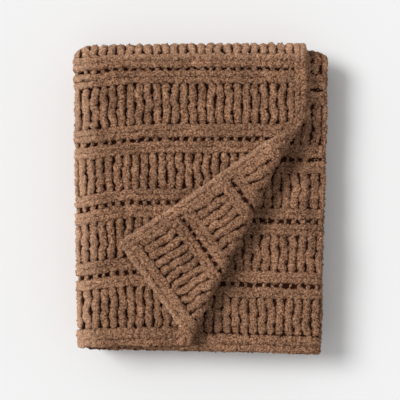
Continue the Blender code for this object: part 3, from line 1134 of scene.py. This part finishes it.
@dataclass
class CordYarns:
    """The yarns that run across the cloth: two strands for each cord, one for each hem row.

    A strand overlaps its neighbours a little, swells at each wale and sinks under the selvage.
    """

    bundle: YarnBundle
    knitting: Knitting
    zone: Zone
    overlap: float = 0.0014
    square: float = 2.5
    hem_exposed: float = 0.5
    wander: tuple[Wave, ...] = (Wave(0.060, 0.0006), Wave(0.018, 0.0006))
    lumps: tuple[Wave, ...] = (Wave(0.021, 0.065), Wave(0.009, 0.055))
    beat: float = 0.04  # the swelling at each wale, and how far a strand may be out of step
    beat_phase: float = 0.6
    lump_height: float = 0.8
    extra_rise: float = 0.0002
    tuck_start: float = 0.004  # how far in from the selvage a strand starts to sink
    tuck_reach: float = 0.010
    tuck_depth: float = 0.0042
    shade_spread: float = 0.20

    def add_row(self, row: Row, start: float, end: float) -> None:
        """Add the strands of one row, if it is a cord or a hem.

        Args:
            row: The row.
            start: Where it starts across the cloth.
            end: Where it ends.
        """
        if row.stitch not in (Stitch.CORD, Stitch.HEM):
            return
        bundle, gauge, knitting = self.bundle, self.zone.gauge, self.knitting
        is_hem = row.stitch is Stitch.HEM
        strands, spill = (1, 0.0) if is_hem else (2, gauge.spill)
        low = row.start - spill
        size = (row.end + spill - low) / strands
        far_rim = knitting.cloth.along[-1] - size / 2
        is_rim = is_hem and (row.start < size / 2 or row.end > far_rim)
        overlap, sink = (0.0, gauge.rim_sink) if is_rim else (self.overlap, 0.0)
        u = bundle.samples(start, end)
        tuck = np.clip((knitting.selvage + self.tuck_start - u) / self.tuck_reach, 0, 1)
        for index in range(strands):
            v = np.full_like(u, low + size * (index + 0.5))
            if self.zone.sheet is not Sheet.SECOND:
                v = v + knitting.sag(u, v)
            v = v + bundle.wander(u, *self.wander)
            phase = bundle.rng.uniform(-self.beat_phase, self.beat_phase) + index * math.pi
            beat = np.cos(2 * math.pi * u / knitting.pitch(self.zone.sheet) + phase)
            lumps = self.beat * beat + bundle.wander(u, *self.lumps)
            strand = Strand(
                u=u,
                v=v,
                half_width=(size / 2 + overlap) * (1 + lumps),
                middle=gauge.middle - sink - (0.0 if is_hem else self.tuck_depth) * tuck,
                rise=(gauge.rise + self.extra_rise * gauge.lift) * (1 + self.lump_height * lumps),
                drop=np.full_like(u, gauge.drop),
                shade=float(bundle.rng.normal(0, self.shade_spread)),
                square=self.square,
                exposed=self.hem_exposed if is_hem else 0.0,
            )
            bundle.add(strand, self.zone.keep)


@dataclass
class EdgeYarns:
    """The strands that run along a side edge."""

    bundle: YarnBundle
    zone: Zone
    lumps: tuple[Wave, ...] = (Wave(0.020, 0.05), Wave(0.009, 0.04))
    wander: Wave = Wave(0.045, 0.0005)
    square: float = 2.8
    exposed: float = 0.8

    def add_strand(self, middle: float, half_width: float, reach: Reach) -> None:
        """Add one strand of the edge.

        Args:
            middle: Its middle across the cloth.
            half_width: Half of its width.
            reach: Where it starts and ends along the cloth.
        """
        bundle, gauge = self.bundle, self.zone.gauge
        v = bundle.samples(*reach)
        lumps = bundle.wander(v, *self.lumps)
        strand = Strand(
            u=middle + bundle.wander(v, self.wander),
            v=v,
            half_width=half_width * (1 + lumps),
            middle=np.full_like(v, gauge.middle),
            rise=gauge.rise * (1 + lumps),
            drop=np.full_like(v, gauge.drop),
            square=self.square,
            exposed=self.exposed,
        )
        bundle.add(strand, self.zone.keep)


def linear(hex_colour: str) -> tuple[float, float, float, float]:
    """Turn an sRGB hex colour into the linear one that a shader takes."""
    values = [int(hex_colour[i : i + 2], 16) / 255 for i in (1, 3, 5)]
    return (*(c / 12.92 if c <= 0.04045 else ((c + 0.055) / 1.055) ** 2.4 for c in values), 1.0)


def add_node(
    tree: bpy.types.NodeTree,
    kind: str,
    settings: dict[str, object] | None = None,
    inputs: dict[str | int, object] | None = None,
) -> bpy.types.Node:
    """Add a node to a material.

    Args:
        tree: The material's node tree.
        kind: The node's type.
        settings: The node's own settings, by name.
        inputs: A value or a socket to link for each input, by name or place.

    Returns:
        The new node.
    """
    node = tree.nodes.new(kind)
    for name, value in (settings or {}).items():
        setattr(node, name, value)
    for name, value in (inputs or {}).items():
        if isinstance(value, bpy.types.NodeSocket):
            tree.links.new(value, node.inputs[name])
        else:
            node.inputs[name].default_value = value
    return node


@dataclass(frozen=True)
class ChenilleFinish:
    """Matt raised chenille: a short pile that stands out of a twisted centre on every side.

    The eye sees a soft grainy pile without gloss: pale tips over browner hollows, and patches of 3
    to 4 cm where the pile lies another way. Painted shade darkens each yarn low on its sides and
    under it, where the yarns shade one another, and painted light makes it lighter and paler round
    the folds that face the light. Real pile is about 1 mm thick, too fine to show: its tufts are
    drawn as coarse as needed, 2 to 5 mm.
    """

    name: str = "Brushed brown chenille yarn"
    light: str = "#F0BC97"
    middle: str = "#744224"
    # The painted shade, laid low on each yarn's sides and under it, where the yarns shade one
    # another.
    dark: str = "#4A1604"
    # The pale colour of the painted light.
    painted_light_colour: str = "#F6CCAC"
    roughness: float = 0.95
    ior: float = 1.45
    specular: float = 0.05  # the pile breaks up nearly all gloss
    sheen: float = 0.03
    sheen_roughness: float = 0.5
    sheen_tint: str = "#F0DCCB"
    tuft: float = 0.0031
    tuft_detail: float = 2.5
    tuft_roughness: float = 0.85
    tuft_range: tuple[float, float] = (0.385, 0.625)  # of the noise, from middle to light
    tuft_depth: float = 0.0085
    patch: float = 0.034
    patch_detail: float = 2.0
    patch_range: tuple[float, float] = (0.30, 0.72)  # of the noise, from dim to bright
    patch_tones: tuple[float, float] = (0.70, 1.09)
    yarn_share: float = 0.10  # how much a yarn's own shade counts beside its patch
    painted_light_tone: float = 0.46  # how much the painted light brightens, and how much it pales
    painted_light_pale: float = 0.34
    crevice_shade_depth: float = 0.90  # painted shade under a yarn: how dark it is, and how far up that reaches
    crevice_shade_top: float = 0.85

    def build(self) -> bpy.types.Material:
        """Make the material: tufts as bump and colour, broad patches, painted light and painted
        shade.

        Returns:
            The material.
        """
        material = bpy.data.materials.new(self.name)
        material.use_nodes = True
        tree = material.node_tree
        shader = tree.nodes["Principled BSDF"]
        node = partial(add_node, tree)
        place = node("ShaderNodeTexCoord").outputs["Object"]
        shade, tip, nap = (
            node("ShaderNodeAttribute", {"attribute_name": name}).outputs["Fac"]
            for name in ("shade", "tip", "nap")
        )
        grain = {"Detail": self.tuft_detail, "Roughness": self.tuft_roughness}
        noise = {"Vector": place, "Scale": 1 / self.tuft, **grain}
        tufts = node("ShaderNodeTexNoise", inputs=noise).outputs["Fac"]
        noise = {"Vector": place, "Scale": 1 / self.patch, "Detail": self.patch_detail}
        patches = node("ShaderNodeTexNoise", inputs=noise).outputs["Fac"]
        low, high = self.tuft_range
        span = {"From Min": low, "From Max": high, "To Min": 0.0, "To Max": 1.0}
        fine = node("ShaderNodeMapRange", inputs={"Value": tufts, **span}).outputs["Result"]
        mixed = {0: fine, 6: linear(self.middle), 7: linear(self.light)}
        pile = node("ShaderNodeMix", {"data_type": "RGBA"}, mixed).outputs[2]
        added = {0: shade, 1: self.yarn_share, 2: patches}
        broad = node("ShaderNodeMath", {"operation": "MULTIPLY_ADD"}, added).outputs[0]
        (low, high), (dim, bright) = self.patch_range, self.patch_tones
        span = {"From Min": low, "From Max": high, "To Min": dim, "To Max": bright}
        tone = node("ShaderNodeMapRange", inputs={"Value": broad, **span}).outputs["Result"]
        # Painted light: lighter and paler round the left fold, the back fold and the turned corner's
        # rim.
        added = {0: nap, 1: self.painted_light_tone, 2: tone}
        lit_tone = node("ShaderNodeMath", {"operation": "MULTIPLY_ADD"}, added).outputs[0]
        scaled = {0: pile, "Scale": lit_tone}
        toned = node("ShaderNodeVectorMath", {"operation": "SCALE"}, scaled).outputs[0]
        shared = {0: nap, 1: self.painted_light_pale}
        light_paling = node("ShaderNodeMath", {"operation": "MULTIPLY"}, shared).outputs[0]
        mixed = {0: light_paling, 6: toned, 7: linear(self.painted_light_colour)}
        painted_lit_colour = node("ShaderNodeMix", {"data_type": "RGBA"}, mixed).outputs[2]
        span = {"From Min": 0.0, "From Max": self.crevice_shade_top, "To Min": self.crevice_shade_depth, "To Max": 0.0}
        # Painted shade: the dark colour low on each yarn's sides and under it, between the other
        # yarns.
        crevice_shade = node("ShaderNodeMapRange", inputs={"Value": tip, **span}).outputs["Result"]
        mixed = {0: crevice_shade, 6: painted_lit_colour, 7: linear(self.dark)}
        colour = node("ShaderNodeMix", {"data_type": "RGBA"}, mixed).outputs[2]
        relief = {"Height": tufts, "Strength": 1.0, "Distance": self.tuft_depth}
        bump = node("ShaderNodeBump", inputs=relief).outputs["Normal"]
        tree.links.new(colour, shader.inputs["Base Color"])
        tree.links.new(bump, shader.inputs["Normal"])
        shader.inputs["Roughness"].default_value = self.roughness
        shader.inputs["IOR"].default_value = self.ior
        shader.inputs["Specular IOR Level"].default_value = self.specular
        shader.inputs["Sheen Weight"].default_value = self.sheen
        shader.inputs["Sheen Roughness"].default_value = self.sheen_roughness
        shader.inputs["Sheen Tint"].default_value = linear(self.sheen_tint)
        return material


@dataclass(frozen=True)
class GroundFinish:
    """The twisted inside of the knitting, where the yarn crosses itself.

    The eye sees it only through the ladder holes and between the yarns. Its dark warm brown is
    painted
    shade: the yarn is no darker there, but hardly any light gets in.
    """

    name: str = "Shaded knit ground"
    dark: str = "#1E0C06"
    light: str = "#33180C"
    roughness: float = 0.98
    specular: float = 0.1
    loop: float = 0.0045
    loop_detail: float = 3.0
    loop_depth: float = 0.002
    loop_strength: float = 0.8

    def build(self) -> bpy.types.Material:
        """Make the material: crossing loops as a soft pattern and bump.

        Returns:
            The material.
        """
        material = bpy.data.materials.new(self.name)
        material.use_nodes = True
        tree = material.node_tree
        shader = tree.nodes["Principled BSDF"]
        node = partial(add_node, tree)
        place = node("ShaderNodeTexCoord").outputs["Object"]
        noise = {"Vector": place, "Scale": 1 / self.loop, "Detail": self.loop_detail}
        loops = node("ShaderNodeTexNoise", inputs=noise).outputs["Fac"]
        mixed = {0: loops, 6: linear(self.dark), 7: linear(self.light)}
        colour = node("ShaderNodeMix", {"data_type": "RGBA"}, mixed).outputs[2]
        relief = {"Height": loops, "Strength": self.loop_strength, "Distance": self.loop_depth}
        bump = node("ShaderNodeBump", inputs=relief).outputs["Normal"]
        tree.links.new(colour, shader.inputs["Base Color"])
        tree.links.new(bump, shader.inputs["Normal"])
        shader.inputs["Roughness"].default_value = self.roughness
        shader.inputs["Specular IOR Level"].default_value = self.specular
        return material


@dataclass(frozen=True)
class PaintedFloorFinish:
    """A matt painted board, which looks pale and even and has no gloss."""

    name: str = "Matt pale painted board"
    colour: str = "#F2F2F2"
    roughness: float = 0.9

    def build(self) -> bpy.types.Material:
        """Make the material.

        Returns:
            The material.
        """
        material = bpy.data.materials.new(self.name)
        material.use_nodes = True
        shader = material.node_tree.nodes["Principled BSDF"]
        shader.inputs["Base Color"].default_value = linear(self.colour)
        shader.inputs["Roughness"].default_value = self.roughness
        shader.inputs["Specular IOR Level"].default_value = 0.0
        return material


@dataclass
class GroundCloth:
    """The cloth itself: a thin closed sheet in the middle of the knitting, folded as the throw is.

    It is cut into cells where it lies flat and into narrower steps round its folds, its turns and
    the corner's roll, so that it bends there smoothly.
    """

    cloth: FoldMap
    name: str = "knit_ground"
    half_thickness: float = 0.0012
    inset: float = 0.003
    cell: float = 0.016
    fold_steps: int = 8
    turn_steps: int = 12
    roll_steps: int = 9
    settle_steps: int = 4
    snap: float = 1e-6  # a cut this close to a point goes through it

    def cut(self, bm: bmesh.types.BMesh, point: Sequence[float], normal: Sequence[float]) -> None:
        """Cut the flat sheet all along a line.

        Args:
            bm: The sheet.
            point: The U and V of a point on the line.
            normal: The line's normal.
        """
        geometry = [*bm.verts, *bm.edges, *bm.faces]
        place, across = (*point, 0.0), (*normal, 0.0)
        bmesh.ops.bisect_plane(bm, geom=geometry, dist=self.snap, plane_co=place, plane_no=across)

    def lines(self, marks: Sequence[float], steps: int) -> list[float]:
        """Return where the sheet is cut between marks, closer together in its folds.

        Args:
            marks: Where its flat stretches and its folds start and end, a flat one first.
            steps: How many steps go round a fold.

        Returns:
            The places of the cuts, in order.
        """
        found: list[float] = []
        for index, (start, end) in enumerate(zip(marks, marks[1:])):
            count = steps if index % 2 else math.ceil((end - start) / self.cell)
            found += np.linspace(start, end, count + 1)[:-1].tolist()
        return found[1:]

    def build(self, material: bpy.types.Material) -> bpy.types.Object:
        """Make the sheet flat, cut it where it bends, thicken it and fold it.

        Args:
            material: The sheet's material.

        Returns:
            The piece.
        """
        cloth = self.cloth
        near, right, far = self.inset, cloth.across[-1] - self.inset, cloth.along[-1] - self.inset
        bm = bmesh.new()
        corners = ((near, near), (right, near), (right, far), (near, far))
        bm.faces.new([bm.verts.new((*corner, 0.0)) for corner in corners])
        for u in self.lines(cloth.across, self.fold_steps):
            self.cut(bm, (u, 0.0), (1.0, 0.0))
        for v in self.lines(cloth.along, self.turn_steps):
            self.cut(bm, (0.0, v), (0.0, 1.0))
        normal = cloth.crease.normal
        roll = np.linspace(0, cloth.roll_length, self.roll_steps + 1)
        settle = cloth.roll_length + np.linspace(0, cloth.settle_length, self.settle_steps + 1)[1:]
        for distance in (*roll, *settle):
            self.cut(bm, cloth.crease.point + normal * distance, normal)
        extruded = bmesh.ops.extrude_face_region(bm, geom=bm.faces[:], use_keep_orig=True)
        lower = [item for item in extruded["geom"] if isinstance(item, bmesh.types.BMVert)]
        bmesh.ops.translate(bm, verts=lower, vec=(0, 0, -2 * self.half_thickness))
        bmesh.ops.translate(bm, verts=bm.verts[:], vec=(0, 0, self.half_thickness))
        bmesh.ops.recalc_face_normals(bm, faces=bm.faces[:])
        flat = np.array([vert.co for vert in bm.verts])
        folded = cloth.place(flat[:, 0], flat[:, 1], cloth.thickness / 2 - flat[:, 2])
        for vert, place in zip(bm.verts, folded):
            vert.co = place
        bmesh.ops.reverse_faces(bm, faces=bm.faces[:])
        mesh = bpy.data.meshes.new(self.name)
        bm.to_mesh(mesh)
        bm.free()
        return add_piece(mesh, material)


@dataclass
class KnitThrow:
    """All the yarns of the throw, zone by zone, on every side that shows.

    The top sheet's yarns run on a little way into the roll, and the turned corner's start a little
    before it. What lies hidden under another layer is left out, but for a cover's width. In the
    lists of pieces, a and b are the marks across and along the cloth where its folds start and end.
    """

    cloth: FoldMap
    knitting: Knitting
    yarn: bpy.types.Material
    cover: float = 0.012
    into_roll: float = 0.020
    before_roll: float = 0.006
    edge_places: tuple[float, float] = (0.25, 0.75)  # of its strands, as shares of the selvage
    edge_half_width: float = 0.31
    inner_strand: float = 0.006  # how far in the one strand of an inner edge lies
    inner_half_width: float = 0.0065
    under_selvage: float = 0.009  # how far cords run on under the selvage
    fold_margin: float = 0.002
    fold_run: float = 0.004  # how far cords and hems run on past a fold
    hem_run: float = 0.010
    hem_short: float = 0.002  # how far the bars run in over the hem's cords
    under_coarse: float = 1.7  # how much longer the steps are where only the floor sees them

    def __post_init__(self) -> None:
        """Lay out the edges' strands and the lines beyond which the second sheet shows."""
        cloth = self.cloth
        start, end = np.array(cloth.crease_at_side), np.array(cloth.crease_at_hem)
        back = np.array((start[0], cloth.back_turn))
        right_of_back = (back[0] + self.cover, back[1])
        self.roll_shade = cloth.flat_line(Side.BACK, (start, end), (start[0], end[1]))
        self.side_shade = cloth.flat_line(Side.BACK, (start, back), right_of_back)
        selvage = self.knitting.selvage
        half_width = selvage * self.edge_half_width
        self.selvage_strands = [(selvage * share, half_width) for share in self.edge_places]
        self.hem = sum(self.knitting.hem_cords) - self.hem_short

    def on_top(self, u: Array, v: Array) -> Array:
        """Tell which places of the top sheet show, face up.

        Args:
            u: Distances across the cloth.
            v: Distances along the cloth.

        Returns:
            True for each place that shows.
        """
        past = self.cloth.crease.past(u, v)
        is_covered = (past < 0) & self.cloth.is_under_corner(u, v, self.cover)
        return (past < self.into_roll) & ~is_covered

    def on_corner(self, u: Array, v: Array) -> Array:
        """Tell which places belong to the turned-back corner and its roll."""
        return self.cloth.crease.past(u, v) > -self.before_roll

    def on_second(self, u: Array, v: Array) -> Array:
        """Tell which places of the second sheet show beside the top sheet, or nearly do."""
        return (self.side_shade.past(u, v) > -self.cover) | (self.roll_shade.past(u, v) > -self.cover)

    def bundle(self, zone: Zone) -> YarnBundle:
        """Start a zone's yarns."""
        step = YarnBundle.step * zone.coarse
        return YarnBundle(self.cloth, zone.name, zone.side, zone.seed, step)

    def bars(self, zone: Zone, wales: Array, reach: Reach) -> bpy.types.Object:
        """Make the bars and links of one zone.

        Args:
            zone: What is made.
            wales: The middles of the wales.
            reach: Where they start and end along the cloth.

        Returns:
            The piece.
        """
        yarns = BarYarns(self.bundle(zone), self.knitting, zone)
        for u in wales:
            yarns.add_wale(float(u), *reach)
        return yarns.bundle.build(self.yarn)

    def cords(self, zone: Zone, reach: Reach, band: Reach) -> bpy.types.Object:
        """Make the cords of one zone.

        Args:
            zone: What is made.
            reach: Where they start and end across the cloth.
            band: The stretch along the cloth whose rows are made.

        Returns:
            The piece.
        """
        yarns = CordYarns(self.bundle(zone), self.knitting, zone)
        for row in self.knitting.rows(zone.sheet):
            if band[0] <= (row.start + row.end) / 2 <= band[1]:
                yarns.add_row(row, *reach)
        return yarns.bundle.build(self.yarn)

    def edge(self, zone: Zone, strands: Sequence[Reach], reach: Reach) -> bpy.types.Object:
        """Make the strands of a side edge.

        Args:
            zone: What is made.
            strands: The middle and half width of each strand across the cloth.
            reach: Where they start and end along the cloth.

        Returns:
            The piece.
        """
        yarns = EdgeYarns(self.bundle(zone), zone)
        for middle, half_width in strands:
            yarns.add_strand(middle, half_width, reach)
        return yarns.bundle.build(self.yarn)

    def build(self) -> list[bpy.types.Object]:
        """Make every zone's yarns and return them."""
        return [*self.top_sheet(), *self.turned_corner(), *self.second_sheet(), *self.lower_layers()]

    def top_sheet(self) -> list[bpy.types.Object]:
        """Make what shows of the top sheet, and the left fold under it.

        Returns:
            The pieces.
        """
        a, b = self.cloth.across, self.cloth.along
        start, hem = self.knitting.selvage - self.under_selvage, self.hem
        wales = self.knitting.wales(Sheet.TOP)
        top = dict(side=Side.FACE, sheet=Sheet.TOP, keep=self.on_top)
        fold = dict(side=Side.FACE, sheet=Sheet.TOP)
        return [
            self.bars(Zone("top_sheet_bars", seed=11, **top), wales, (hem, b[2])),
            self.cords(Zone("top_sheet_cords", seed=12, **top), (start, a[2]), (0.0, b[2])),
            self.edge(Zone("top_sheet_selvage", seed=13, **top), self.selvage_strands, (0.0, b[2])),
            self.bars(Zone("left_fold_bars", seed=14, **fold), wales[-2:], (b[2], b[5] - hem)),
            self.cords(Zone("left_fold_cords", seed=15, **fold), (a[1], a[2]), (b[2], b[5])),
        ]

    def turned_corner(self) -> list[bpy.types.Object]:
        """Make the corner that is turned back, round its roll.

        Returns:
            The pieces.
        """
        a, b = self.cloth.across, self.cloth.along
        start = self.knitting.selvage - self.under_selvage
        wales = self.knitting.wales(Sheet.TOP)[:-2]
        zone = dict(side=Side.BACK, sheet=Sheet.TURNED, gauge=TURNED, keep=self.on_corner)
        strands = self.selvage_strands
        return [
            self.bars(Zone("turned_corner_bars", seed=21, **zone), wales, (self.hem, b[1])),
            self.cords(Zone("turned_corner_cords", seed=22, **zone), (start, a[1]), (0.0, b[1])),
            self.edge(Zone("turned_corner_selvage", seed=23, **zone), strands, (0.0, b[1])),
        ]

    def second_sheet(self) -> list[bpy.types.Object]:
        """Make what shows of the second sheet, and the right fold under it.

        Returns:
            The pieces.
        """
        a, b, hem, run = self.cloth.across, self.cloth.along, self.hem, self.fold_run
        wales = self.knitting.wales(Sheet.SECOND)
        second = wales[wales < a[3]]
        right = wales[(wales > a[3] - self.fold_margin) & (wales < a[4] + self.fold_margin)]
        right_run = (a[3] - run, a[4] + run)
        shown = dict(side=Side.BACK, sheet=Sheet.SECOND, gauge=LOWER, keep=self.on_second)
        fold = dict(side=Side.BACK, sheet=Sheet.SECOND)
        return [
            self.bars(Zone("second_sheet_bars", seed=31, **shown), second, (hem, b[2])),
            self.cords(Zone("second_sheet_cords", seed=32, **shown), (a[2], a[4]), (0.0, b[2])),
            self.bars(Zone("right_fold_bars", seed=33, **fold), right, (hem, b[5] - hem)),
            self.cords(Zone("right_fold_cords", seed=34, **fold), right_run, (b[2], b[5])),
        ]

    def lower_layers(self) -> list[bpy.types.Object]:
        """Make the front fold, the underside, and the edges and hems that end inside the stack.

        Returns:
            The pieces.
        """
        a, b, hem = self.cloth.across, self.cloth.along, self.hem
        wales = self.knitting.wales(Sheet.SECOND)
        third = wales[wales > a[4]]
        fold = dict(side=Side.BACK, sheet=Sheet.SECOND)
        under = dict(side=Side.BACK, sheet=Sheet.SECOND, gauge=PRESSED, coarse=self.under_coarse)
        inner = dict(side=Side.BACK, sheet=Sheet.SECOND, gauge=PRESSED)
        face = dict(side=Side.FACE, sheet=Sheet.TOP, gauge=PRESSED)
        laid = dict(side=Side.FACE, sheet=Sheet.SECOND, gauge=PRESSED)
        inner_edge = [(self.inner_strand, self.inner_half_width)]
        tucked_edge = [(a[5] - self.inner_strand, self.inner_half_width)]
        near_hem, far_hem = (0.0, hem), (b[5] - hem, b[5])
        second_run, third_run = (a[2], a[3] + self.hem_run), (a[4] - self.hem_run, a[5])
        return [
            self.bars(Zone("front_fold_bars", seed=35, **fold), third, (b[3], b[4])),
            self.cords(Zone("front_fold_cords", seed=36, **fold), (a[4], a[5]), (b[3], b[4])),
            self.bars(Zone("underside_bars", seed=37, **under), third, (b[4], b[5] - hem)),
            self.cords(Zone("underside_cords", seed=38, **under), (a[4], a[5]), (b[4], b[5])),
            self.edge(Zone("tucked_edge", seed=39, **inner), tucked_edge, (0.0, b[5])),
            self.edge(Zone("inner_side_edge", seed=16, **face), inner_edge, (b[2], b[5])),
            self.cords(Zone("lower_hem_cords", seed=17, **face), (0.0, a[2]), far_hem),
            self.cords(Zone("tucked_hem_cords", seed=40, **inner), (a[2], a[4]), far_hem),
            self.cords(Zone("third_sheet_hem", seed=41, **inner), (a[4], a[5]), near_hem),
            self.cords(Zone("second_sheet_hem", seed=42, **inner), (a[2], a[3]), (0.0, hem / 2)),
            self.cords(Zone("second_hem_face", seed=43, **laid), second_run, near_hem),
            self.cords(Zone("third_hem_face", seed=44, **laid), third_run, near_hem),
            self.cords(Zone("tucked_hem_face", seed=45, **laid), second_run, far_hem),
            self.cords(Zone("underside_hem_face", seed=46, **laid), third_run, far_hem),
        ]


@dataclass(frozen=True)
class Sun:
    """A distant light: how wide it looks, which way it comes from and how high, and its strength."""

    name: str
    width: float
    turn: float
    tilt: float
    strength: float


@dataclass
class Studio:
    """A pale floor, soft light from the upper left, and a camera that looks straight down.

    The frame's width is measured at the height of the stack's top.
    """

    floor_size: float = 60.0
    suns: tuple[Sun, ...] = (
        Sun("window_light", width=26, turn=158, tilt=44, strength=2.16),
        Sun("room_light", width=60, turn=150, tilt=50, strength=0.38),
    )
    sky_strength: float = 0.45
    camera_height: float = 2.30
    camera_aside: float = -0.0008
    frame_width: float = 0.664
    sensor: float = 36.0
    far_clip: float = 100.0

    def floor(self) -> bpy.types.Object:
        """Make the floor.

        Returns:
            The floor, which is no piece of the throw.
        """
        bpy.ops.object.select_all(action="DESELECT")
        bpy.ops.mesh.primitive_plane_add(size=self.floor_size, location=(0, 0, 0))
        floor = bpy.context.active_object
        floor.name = "floor"
        floor.data.materials.append(PaintedFloorFinish().build())
        return floor

    def light(self) -> None:
        """Add the broad soft lights and an even sky."""
        for sun in self.suns:
            data = bpy.data.lights.new(sun.name, "SUN")
            data.energy = sun.strength
            data.angle = math.radians(sun.width)
            lamp = bpy.data.objects.new(sun.name, data)
            lamp.rotation_euler = (0.0, math.radians(-sun.tilt), math.radians(sun.turn - 180))
            bpy.context.scene.collection.objects.link(lamp)
        world = bpy.data.worlds.new("even_sky")
        world.use_nodes = True
        background = world.node_tree.nodes["Background"]
        background.inputs["Color"].default_value = (1.0, 1.0, 1.0, 1.0)
        background.inputs["Strength"].default_value = self.sky_strength
        bpy.context.scene.world = world

    def camera(self, stack: float, centre: tuple[float, float]) -> None:
        """Add the camera over the throw's middle.

        Args:
            stack: The height of the stack's top.
            centre: What the camera looks down on.
        """
        camera = bpy.data.cameras.new("camera")
        camera.sensor_width = self.sensor
        camera.lens = self.sensor * (self.camera_height - stack) / self.frame_width
        camera.clip_end = self.far_clip
        viewer = bpy.data.objects.new("camera", camera)
        viewer.location = (centre[0], centre[1], self.camera_height)
        bpy.context.scene.collection.objects.link(viewer)
        bpy.context.scene.camera = viewer

    def build(self, cloth: FoldMap) -> None:
        """Set up the floor, the light and the camera.

        Args:
            cloth: The folded throw's layout.
        """
        self.floor()
        self.light()
        self.camera(cloth.stack, (cloth.centring[0] + self.camera_aside, cloth.centring[1]))
        bpy.context.scene.view_settings.view_transform = "Standard"
        bpy.context.scene.view_settings.look = "None"


def corners(bounds: Iterable[Iterable[float]]) -> list[list[float]]:
    """Return a box's two corners as plain lists of numbers."""
    return [[float(value) for value in corner] for corner in bounds]


def triangles(piece: bpy.types.Object) -> int:
    """Return how many triangles a piece's faces come to."""
    return len(piece.data.loops) - 2 * len(piece.data.polygons)


def main() -> None:
    """Build the throw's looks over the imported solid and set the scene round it."""
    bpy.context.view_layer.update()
    cloth = FoldMap()
    ground = GroundCloth(cloth).build(GroundFinish().build())
    yarns = KnitThrow(cloth, Knitting(cloth), ChenilleFinish().build()).build()
    for piece in (ground, *yarns):
        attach(piece, BODY)
        log.info("%s: %d triangles", piece.name, triangles(piece))
    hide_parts(NODE)
    Studio().build(cloth)
    total = sum(triangles(piece) for piece in (ground, *yarns))
    log.info("%d pieces, %d triangles", len(yarns) + 1, total)


if __name__ == "__main__":
    logging.basicConfig(level=logging.INFO, format="%(message)s")
    main()
